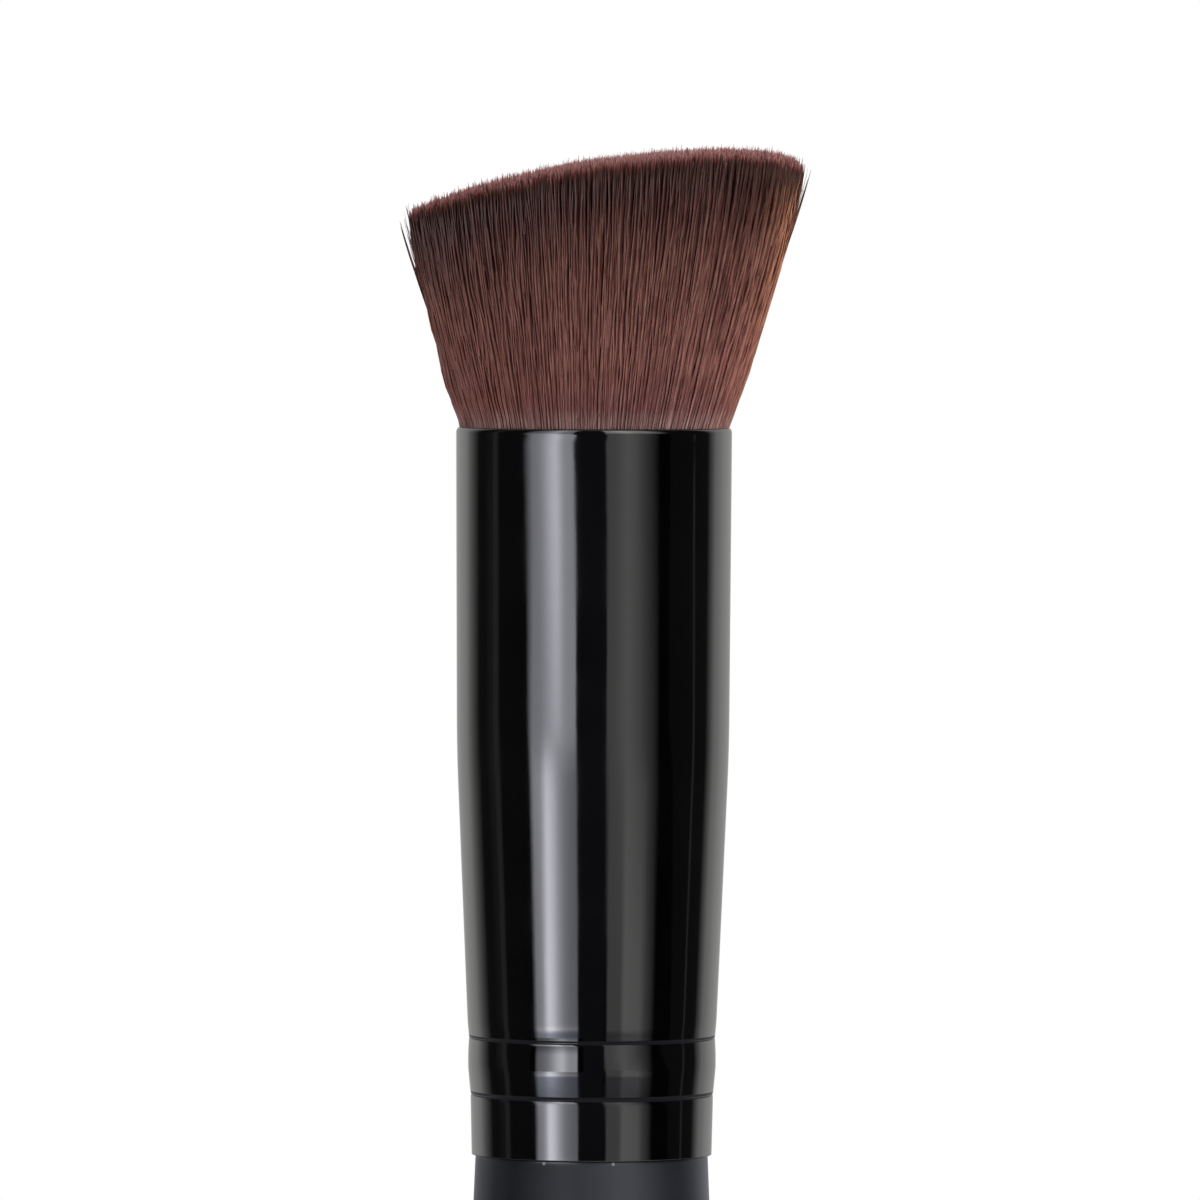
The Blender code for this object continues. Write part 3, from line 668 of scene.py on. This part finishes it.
turn_share = (np.arctan2(shares[:, 1], shares[:, 0]) + np.pi) / (2 * np.pi)
for part, here, sectors, steps in (("wall", in_wall, WALL_SECTORS, WALL_STEPS),
                                   ("crown", ~in_wall, CROWN_SECTORS, CROWN_STEPS)):
    sector = np.minimum((turn_share * sectors).astype(int), sectors - 1)
    for k in range(sectors):
        filament_piece(f"filaments_{part}_{k + 1}", here & (sector == k), steps)

# %% [markdown]
# ## The core of the bundle
# Behind the filaments that are modelled stands the rest of the bundle. It is a closed skin: its side follows
# the tuft's radius, and its top lies a few millimetres under the cut.

# %% The core
CORE_SHARE = 0.82
CORE_DEPTH = 4.6
CORE_AROUND, CORE_SIDE_ROWS, CORE_TOP_ROWS = 96, 13, 8


def core_grid():
    """Point (i, j): its share of the radius is 0 in the middle of the underside, stays the same up the side while
    the height grows, and shrinks over the top, where the height follows the cut less the core's depth."""
    turn = np.linspace(0, 2 * np.pi, CORE_AROUND, endpoint=False)
    unit = np.stack([np.cos(turn), np.sin(turn)], -1)
    top_edge = tip_heights(unit * CORE_SHARE) - CORE_DEPTH
    rows = [(0.0, np.full(CORE_AROUND, ROOT_DROP))]
    rows += [(CORE_SHARE, ROOT_DROP + (top_edge - ROOT_DROP) * rise) for rise in np.linspace(0, 1, CORE_SIDE_ROWS)]
    rows += [(share, tip_heights(unit * share) - CORE_DEPTH)
             for share in np.linspace(CORE_SHARE, 0.0, CORE_TOP_ROWS + 1)[1:]]
    grid = np.array([np.column_stack([unit * (share * tuft_radius(height))[:, None], height])
                     for share, height in rows])
    grid[:, :, 0] += LEAN * grid[:, :, 2]
    return grid + [0, 0, MOUTH_Z]


def packed_filament():
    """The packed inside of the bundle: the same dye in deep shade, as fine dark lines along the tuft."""
    return patterned("packed_polyester_filament", "TexNoise", {"Scale": 1 / (0.3 * MM), "Detail": 2.0}, 0.03,
                     [(0.3, "#2A1A17"), (0.7, "#543732")], 0.05, IOR=1.57, Roughness=0.7)


core = skin("tuft_core", core_grid(), packed_filament())
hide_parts("bristle_tuft")

# %% [markdown]
# ## Stray filaments
# A few filaments stand off the bundle: dark ones at the low side, a wedge of them at the high side, and fine
# ones here and there. Each is a quadratic curve from a point in the tuft's wall to its free tip.

# %% Stray filaments
# One row a hair: x and height where it leaves the wall, x and height of its tip, its depth y, and its radius
STRAY_HAIRS = np.array([
    [-12.06, 8.4, -14.12, 14.9, -0.6, 0.055], [-12.15, 8.8, -14.08, 14.5, 0.5, 0.055],
    [-12.26, 9.2, -13.99, 14.2, 1.2, 0.055], [-12.33, 9.6, -14.03, 14.7, -1.3, 0.050],
    [-12.40, 9.9, -13.90, 13.9, 0.0, 0.050], [-12.60, 10.6, -13.83, 15.0, 0.8, 0.025],
    [-12.65, 10.9, -13.74, 15.2, -0.4, 0.028], [-12.75, 11.4, -13.80, 15.6, 0.3, 0.022],
    [-12.80, 11.9, -13.60, 16.0, -0.9, 0.045], [-12.85, 12.2, -13.52, 16.2, 0.2, 0.040],
    [13.45, 11.9, 15.62, 18.7, -0.8, 0.058], [13.60, 12.5, 15.54, 18.3, 0.4, 0.058],
    [13.75, 13.1, 15.40, 18.0, 1.0, 0.055], [13.85, 13.5, 15.25, 17.6, -1.5, 0.050],
    [13.95, 13.9, 15.15, 17.3, 0.9, 0.045], [13.95, 13.6, 15.26, 19.06, 0.1, 0.034],
    [14.10, 14.2, 15.42, 18.9, -0.5, 0.030], [14.20, 14.8, 15.10, 18.5, 1.2, 0.030],
    [14.15, 15.0, 15.00, 17.9, -0.2, 0.036],
])
FLYAWAYS = 70
FLYAWAY_RADIUS = 0.04
HAIR_BEND, FLYAWAY_BEND = 1.012, 0.992  # a bend lies this much further out than the middle of its hair
HAIR_ROOT_DEPTH, FLYAWAY_ROOT = 0.9, -0.1  # a root's share of its tip's depth, and mm out from the tuft's surface
# For the flyaways, in mm: the tip's height above the cut, the length, and how far the tip stands out
FLYAWAY_HEIGHT, FLYAWAY_LENGTH, FLYAWAY_OUT = (-3.0, 0.1), (3.0, 7.0), (0.08, 0.45)


def stray_lines(chance):
    """P(t) = (1 - t)^2 root + 2 t (1 - t) bend + t^2 tip."""
    turn = chance.uniform(0, 2 * np.pi, FLYAWAYS)
    way = np.stack([np.cos(turn), np.sin(turn)], -1)
    end = tip_heights(way) + chance.uniform(*FLYAWAY_HEIGHT, FLYAWAYS)
    begin = end - chance.uniform(*FLYAWAY_LENGTH, FLYAWAYS)
    out = chance.uniform(*FLYAWAY_OUT, FLYAWAYS)
    x0, h0, x1, h1, y = STRAY_HAIRS[:, :5].T
    ends = []
    for x, depth, level, height, past in ((x0, y * HAIR_ROOT_DEPTH, h0, begin, FLYAWAY_ROOT),
                                          (x1, y, h1, end, out)):
        flying = np.column_stack([way * (tuft_radius(height, way[:, 0]) + past)[:, None], height])
        flying[:, 0] += LEAN * height
        ends.append(np.concatenate([np.column_stack([x, depth, level]), flying])[:, None])
    root, tip = ends
    bend = (root + tip) / 2
    bend[:, 0, :2] *= np.repeat([HAIR_BEND, FLYAWAY_BEND], [len(STRAY_HAIRS), FLYAWAYS])[:, None]
    t = np.linspace(0, 1, 9)[None, :, None]
    return (1 - t) ** 2 * root + 2 * t * (1 - t) * bend + t ** 2 * tip + [0, 0, MOUTH_Z]


strays = stray_lines(chance)
below_tip = strays[:, -1:, 2] - strays[:, :, 2]
thickest = np.concatenate([STRAY_HAIRS[:, 5], np.full(FLYAWAYS, FLYAWAY_RADIUS)])[:, None]
own = chance.random((len(strays), 1)) * 0.4  # strays took more of the dye
stray_values = {"from_tip": below_tip * 0.6 + 1.3, "own": np.broadcast_to(own, below_tip.shape),
                "dip": np.full(below_tip.shape, 0.01)}
tubes("stray_filaments", strays, thickest * np.interp(below_tip, [0.0, 2.0], [0.25, 1.0]), stray_values, FILAMENT)

# %% [markdown]
# ## What the ferrule hides
# The tying thread, the potting epoxy and the ring of glue keep their CAD shapes. Each still gets its real
# finish, so that the brush can be taken apart on screen.

# %% Finishes of the hidden pieces
def cotton_thread():
    """Waxed cotton: dull and off-white, with the twist of its plies, about 0.8 mm a turn."""
    return patterned("waxed_cotton_thread", "TexWave", {"Scale": 1 / (2.5 * MM), "Distortion": 4.0}, 1.0,
                     [(0.2, "#B9B1A0"), (0.8, "#DAD4C6")], 0.03, IOR=1.5, Roughness=0.85)


def cured_resin(name, light, dark, roughness):
    """Cured resin: glossy and slightly cloudy, with small bubbles."""
    material, tree, shader, place = new_material(name, IOR=1.55, Roughness=roughness)
    cloud = add(tree, "TexNoise", {"Vector": place, "Scale": 1 / (4 * MM), "Detail": 4.0})
    resin = add(tree, "ValToRGB", {"Fac": cloud}, stops=[(0.3, dark), (0.7, light)])
    bubble = add(tree, "TexVoronoi", {"Vector": place, "Scale": 1 / (1.2 * MM)})
    bump = add(tree, "Bump", {"Height": bubble, "Distance": 0.03 * MM})
    feed(tree, shader, {"Base Color": resin, "Normal": bump})
    return material


HIDDEN = {
    "tying_thread": cotton_thread(),
    "root_plug": cured_resin("amber_potting_epoxy", "#C9A25A", "#8F6A2C", 0.22),
    "tenon_glue_ring": cured_resin("cream_wood_glue", "#DDD0AC", "#BFAE84", 0.40),
}
for node, material in HIDDEN.items():
    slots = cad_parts[node].data.materials
    slots.clear()
    slots.append(material)
    print(node, "wears", material.name)

# %% [markdown]
# ## Studio
# A gloss black tube is lit by what stands round it. The photographer had white walls behind on both sides, one
# bright soft box to the front left and a dimmer one to the front right, and black cloth between them. One open
# cylinder carries them all as a band of light that only reflections see. The soft lamps and the world do the
# plain lighting. What changes with the height is written as tables, and read by straight lines between them.

# %% The surround that the ferrule mirrors
SURROUND_RADIUS = 330.0
SURROUND_LOW, SURROUND_HIGH = -250.0, 900.0
# Rows of (height in mm, level), of (height in mm, degrees from the camera), or, for the fade, (height in mm, degrees)
GAP_LEVEL = ((42, 0.2), (62, 0.5), (90, 1), (127, 0.8), (135, 0.2))
UPPER_LAMP_LEVEL = ((93, 0), (105, 3.5), (112, 4.2), (121, 5.6), (127, 6.2), (133, 6.0))
UPPER_LAMP_TURN = ((105, -30.3), (124, -31.0), (133, -32.8))
LOWER_LAMP_LEVEL = ((16, 1.5), (30, 6.3), (52, 8.1), (68, 7.7), (82, 6.3), (87, 5.0), (93, 3.3), (99, 1), (101, 0))
LEFT_BOX_FADE = ((93, 4), (105, 5.5), (121, 7), (131, 9))
LEFT_BOX_LEVEL = ((-40, 0), (-25, 0.6), (16, 0.6), (30, 1), (150, 1), (190, 0.55))
RIGHT_BOX_EDGE = ((90, 50), (108, 50.3), (124, 48.3), (133, 47.6), (160, 47.6), (220, 60))
RIGHT_BOX_LEVEL = ((-40, 0), (-25, 0.5), (16, 0.5), (30, 1), (190, 1), (330, 3.4))


def at_height(height, table):
    """Straight lines between the rows of a table, and its end values beyond them."""
    return np.interp(height, *zip(*table))


def between(value, low, high, soft_low, soft_high):
    """1 between low and high, with a straight fade of the given width across each of the two ends."""
    return np.clip((value - low) / soft_low + 0.5, 0, 1) * np.clip((high - value) / soft_high + 0.5, 0, 1)


def bell(value, middle, left, right=None):
    """exp(-((value - middle) / width)^2), with a width of its own on each side where two are given."""
    return np.exp(-(((value - middle) / np.where(value < middle, left, left if right is None else right)) ** 2))


def surround_light(turn, height):
    """The brightness of the surround at a direction, in degrees from the camera towards +X, and a height in mm:
    walls behind, a soft box at each side in front, and cloth between them with three thin gaps."""
    low = np.clip((105 - height) / 45, 0, 1)  # 0 beside the ferrule's barrel, 1 beside its foot
    taper = np.clip((105 - height) / 23, 0, 1)  # the same, but 1 from the middle of the taper on
    barrel = np.clip((133 - height) / 12, 0, 1)  # 0 beside the very mouth
    walls = 1 - between(turn, -121.5 + 2.5 * low, 116, 21, 13)
    walls *= 0.55 + 0.45 * between(turn, -149, 149, 24, 24)
    cloth = 0.045 + 0.04 * between(turn, -15, 10, 3, 3) - 0.045 * between(turn, 56, 66 + 11 * low, 1, 1)
    seam = -90.6 + barrel + 2.4 * low
    gaps = 0.20 * between(turn, seam - 2.0, seam + 3.4, 3, 2.5)
    gaps += 0.10 * between(turn, seam - 9, seam - 1, 7, 1) * at_height(height, GAP_LEVEL)
    slot = turn + 1.8 * np.clip((height - 105) / 20, 0, 1)
    gaps += 0.27 * between(slot, 92.9, 94.6, 0.9, 1.6) * np.clip((134 - height) / 6, 0, 1)
    # The left box is bright: one lamp behind its cloth lights the upper part, another, further left, the lower
    left = 3.5 - 1.25 * taper + (1.7 + 1.5 * taper) * bell(turn, -22 - 16.5 * taper, 17 - 2.4 * taper)
    left += 1.2 * bell(height, 84, 16) * bell(turn, -51, 7)
    left += at_height(height, UPPER_LAMP_LEVEL) * bell(turn, at_height(height, UPPER_LAMP_TURN), 9.5, 5)
    left += at_height(height, LOWER_LAMP_LEVEL) * bell(turn, -39.5, 4.0, 8.5)
    left *= between(turn, -57.0 + 2.4 * barrel + 1.5 * low, -17.4 + 3.1 * barrel + 1.3 * low,
                    at_height(height, LEFT_BOX_FADE), 1.6)
    left *= (1 + 0.5 * bell(height, 34, 6.5)) * at_height(height, LEFT_BOX_LEVEL)
    # The right box is dimmer, taller, and falls off to its right
    far = at_height(height, RIGHT_BOX_EDGE)
    right = between(turn, 9.7 + 1.6 * barrel, far - 2, 1.5, 18) * (1 + 0.55 * bell(turn, 28.5, 8))
    step = between(turn, 27.3, 46, 4, 5) * (1.62 - 0.02 * turn)
    right = right + low ** 2 * (between(turn, 13.2, 53, 1.5, 12) * 0.9 * (1 + step) - right)
    right *= at_height(height, RIGHT_BOX_LEVEL)
    return walls + cloth + gaps + 1.04 * (left + right)


def surround_coolness(turn, height):
    """0 is neutral white, 1 a cool blue: the left box is cool, most of all low down, and so is the cloth."""
    floor = np.clip((30 - height) / 14, 0, 1)
    cloth = np.maximum(floor, between(turn, -11, 9, 1, 1))
    return between(turn, -64, 11, 2, 1) * (0.45 + 0.55 * cloth) + 0.3 * floor


def glowing_sheet(name, turn, radius, height, level, cool):
    """A sheet round the brush that only reflections see: point (i, j) is (r sin turn, -r cos turn, height), with
    the turn in degrees from the camera. It keeps its brightness and its coolness at each of its points."""
    turn, radius, height, level, cool = np.broadcast_arrays(turn, radius, height, level, cool)
    a = np.radians(turn)
    points = np.stack([np.sin(a) * radius, -np.cos(a) * radius, height], -1).reshape(-1, 3)
    rows, columns = turn.shape
    i, j = np.meshgrid(np.arange(rows - 1), np.arange(columns - 1), indexing="ij")
    at = i * columns + j
    faces = np.stack([at + 1, at, at + columns, at + columns + 1], -1).reshape(-1, 4)
    mesh = bpy.data.meshes.new(name)
    mesh.from_pydata((points * MM).tolist(), [], faces.tolist())
    for key, value in (("level", level), ("cool", cool)):
        mesh.attributes.new(key, "FLOAT", "POINT").data.foreach_set("value", value.ravel().astype(np.float32))
    material = bpy.data.materials.new(name)
    material.use_nodes = True
    tree = material.node_tree
    tree.nodes.clear()
    bright, share = [add(tree, "Attribute", attribute_name=key).outputs["Fac"]
                     for key in ("level", "cool")]
    tone = add(tree, "Mix", {"Factor": share, "A": srgb("#FFFFFD"), "B": srgb("#E2E6FF")}, data_type="RGBA")
    glow = add(tree, "Emission", {"Color": tone, "Strength": bright})
    add(tree, "OutputMaterial", {"Surface": glow})
    mesh.materials.append(material)
    sheet = new_object(name, mesh)
    sheet.visible_camera = sheet.visible_diffuse = sheet.visible_transmission = sheet.visible_shadow = False
    print(f"{name}: brightness {level.min():.2f} to {level.max():.2f}")


turns, heights = np.meshgrid(np.arange(-180, 180.1, 0.5), np.concatenate([
    np.arange(SURROUND_LOW, 200, 6), np.arange(200, SURROUND_HIGH + 1, 50)]))
glowing_sheet("studio_surround", turns, SURROUND_RADIUS, heights, surround_light(turns, heights),
              surround_coolness(turns, heights))

# %% [markdown]
# ## Paper close to the brush
# Slips of paper near the brush do what the boxes can't: a collar gives the handle its soft light, a washer
# keeps each crimp dark, and a slip gives the upper half of the band between the crimps its own highlight.

# %% Collar, washers and slip
COLLAR_RADIUS, SLIP_RADIUS, WASHER_WIDTH = 9.05, 11.0, 0.6
PAPER_COOL, WASHER_COOL, WASHER_LEVEL = 0.4, 0.6, 0.3
# (degrees from the camera, level)
COLLAR_LEVEL = ((-104, 0.6), (-88, 0.45), (-69, 0.33), (-61, 0.13), (-45, 0.03), (-37, 0.18), (-30, 0.39),
                (-22, 0.7), (-15, 0.9), (-7, 0.79), (0, 0.87), (7, 1.1), (15, 1.41), (22, 1.37), (30, 0.92),
                (37, 0.5), (45, 0.23), (53, 0.17), (61, 0.28), (69, 0.48), (78, 0.62), (88, 0.60), (104, 0.7))
# What the ferrule mirrors towards a direction leaves it at half that angle, and meets the slip at this share
SLIP_TURN = 0.594

collar = np.linspace(-104, 104, 105)
glowing_sheet("paper_collar", collar, COLLAR_RADIUS, np.array([[0.5], [FOOT_Z - 0.03]]),
              np.interp(collar, *zip(*COLLAR_LEVEL)), PAPER_COOL)
for name, crimp, radius in (("lower_washer", LOWER_CRIMP, SKIRT_TOP_RADIUS - 0.02),
                            ("upper_washer", UPPER_CRIMP, WAIST_RADIUS - 0.05)):
    glowing_sheet(name, np.arange(0, 361, 3), np.array([[radius], [radius + WASHER_WIDTH]]), FOOT_Z + crimp,
                  WASHER_LEVEL, WASHER_COOL)
mirrored = np.linspace(-60, -8, 105)
glint = 2.2 + 3.6 * np.clip((mirrored + 52) / 28, 0, 1) + 5.4 * bell(mirrored, -28.5, 9, 5)
glint = glint * between(mirrored, -53.5, -13.3, 3, 1.6)
slip_heights = FOOT_Z + np.array([[BAND_BEND - 0.14], [UPPER_CRIMP - 0.75], [UPPER_CRIMP - 0.12]])
glowing_sheet("paper_slip", mirrored * SLIP_TURN, SLIP_RADIUS, slip_heights, glint * [[1], [1], [0.4]],
              PAPER_COOL)

# %% [markdown]
# ## Lamps, world and floor
# Soft lamps and a white world light the tuft and the floor. Two lamps stand behind the brush's sides: their
# light comes through the outer filaments, so the tuft's edges glow. None of the lamps shows in the ferrule.
# The world is white to the camera and to reflections, and half as bright as a light, so pale things don't
# burn out.

# %% Lamps, world and floor
LAMP_DISTANCE = 0.9
# Degrees from the camera, elevation, size in metres, level
LAMPS = {"key_lamp": (30, 28, 0.6, 2.0), "top_lamp": (10, 75, 0.6, 1.0),
         "right_side_lamp": (118, 10, 0.5, 6.5), "left_side_lamp": (-120, 10, 0.5, 7.5)}
WORLD_LEVEL = 0.55
FLOOR_SIZE = 8.0
SHADOW_NEAR, SHADOW_FAR = 0.25, 0.9  # the floor keeps the shadow up to near, and is plain white from far on


def soft_lamp(name, direction, elevation, size, level):
    """A square area lamp that aims at the tuft. Its power gives the brightness level of its surface: pi times
    area times level."""
    lamp = bpy.data.lights.new(name, "AREA")
    lamp.shape = "SQUARE"
    lamp.size = size
    lamp.energy = math.pi * size * size * level
    item = new_object(name, lamp)
    aim = Vector((0, 0, MOUTH_Z * MM))
    turn, rise = math.radians(direction), math.radians(elevation)
    way = Vector((math.sin(turn) * math.cos(rise), -math.cos(turn) * math.cos(rise), math.sin(rise)))
    item.location = aim + LAMP_DISTANCE * way
    item.rotation_euler = (item.location - aim).to_track_quat("Z", "Y").to_euler()
    item.visible_glossy = False


def white_world():
    """White to the camera and to reflections, half as bright as a light."""
    world = bpy.data.worlds.new("white_studio")
    bpy.context.scene.world = world
    world.use_nodes = True
    tree = world.node_tree
    tree.nodes.clear()
    path = add(tree, "LightPath")
    seen = path.outputs["Is Camera Ray"]
    for ray in ("Is Glossy Ray", "Is Transmission Ray"):
        seen = add(tree, "Math", {0: seen, 1: path.outputs[ray]}, operation="MAXIMUM")
    strength = add(tree, "MapRange", {"Value": seen, "To Min": WORLD_LEVEL, "To Max": 1.0})
    back = add(tree, "Background", {"Color": (1, 1, 1, 1), "Strength": strength})
    add(tree, "OutputWorld", {"Surface": back})


def pale_floor():
    """A wide sheet of white card. Near the brush it takes the shadow; far away it turns to plain white."""
    bpy.ops.mesh.primitive_grid_add(x_subdivisions=8, y_subdivisions=8, size=FLOOR_SIZE,
                                    location=(0, 0, -0.0001))
    floor = bpy.context.object
    floor.name = "studio_floor"
    material, tree, shader, place = new_material("white_card", Roughness=0.8, Base_Color=srgb("#E6E6E6"))
    far = add(tree, "VectorMath", {0: place}, operation="LENGTH")
    away = add(tree, "MapRange", {"Value": far, "From Min": SHADOW_NEAR, "From Max": SHADOW_FAR})
    camera_ray = add(tree, "LightPath").outputs["Is Camera Ray"]
    white = add(tree, "Math", {0: away, 1: camera_ray}, operation="MULTIPLY")
    lift = add(tree, "Emission", {"Strength": 1.0})
    mix = add(tree, "MixShader", {0: white, 1: shader, 2: lift})
    feed(tree, tree.nodes["Material Output"], {"Surface": mix})
    floor.data.materials.append(material)
    floor.visible_glossy = False


for name, values in LAMPS.items():
    soft_lamp(name, *values)
white_world()
pale_floor()

# %% [markdown]
# ## Camera
# The ellipses at the mouth and the foot of the ferrule show that the photograph was taken from about a metre
# away, a little above the brush. The long lens then frames 87 mm, and the picture is turned by a fifth of a
# degree.

# %% Camera
CAMERA_DISTANCE = 1.05
FRAME_WIDTH = 0.08696  # at the brush
CAMERA_ELEVATION = math.radians(1.5)
CAMERA_ROLL = math.radians(0.2)
LOOK_AT = Vector((0.47 * MM, 0.0, 128.5 * MM))
SENSOR_WIDTH = 36.0

lens = bpy.data.cameras.new("photo_camera")
lens.sensor_width = SENSOR_WIDTH
lens.lens = SENSOR_WIDTH * CAMERA_DISTANCE / FRAME_WIDTH
lens.clip_end = 50.0
camera = new_object("photo_camera", lens)
away = Vector((0, -math.cos(CAMERA_ELEVATION), math.sin(CAMERA_ELEVATION)))
camera.location = LOOK_AT + CAMERA_DISTANCE * away
aim = (camera.location - LOOK_AT).to_track_quat("Z", "Y").to_matrix()
camera.rotation_euler = (aim @ Matrix.Rotation(CAMERA_ROLL, 3, "Z")).to_euler()
bpy.context.scene.camera = camera
bpy.context.scene.view_settings.view_transform = "Standard"
print(f"lens {lens.lens:.0f} mm")
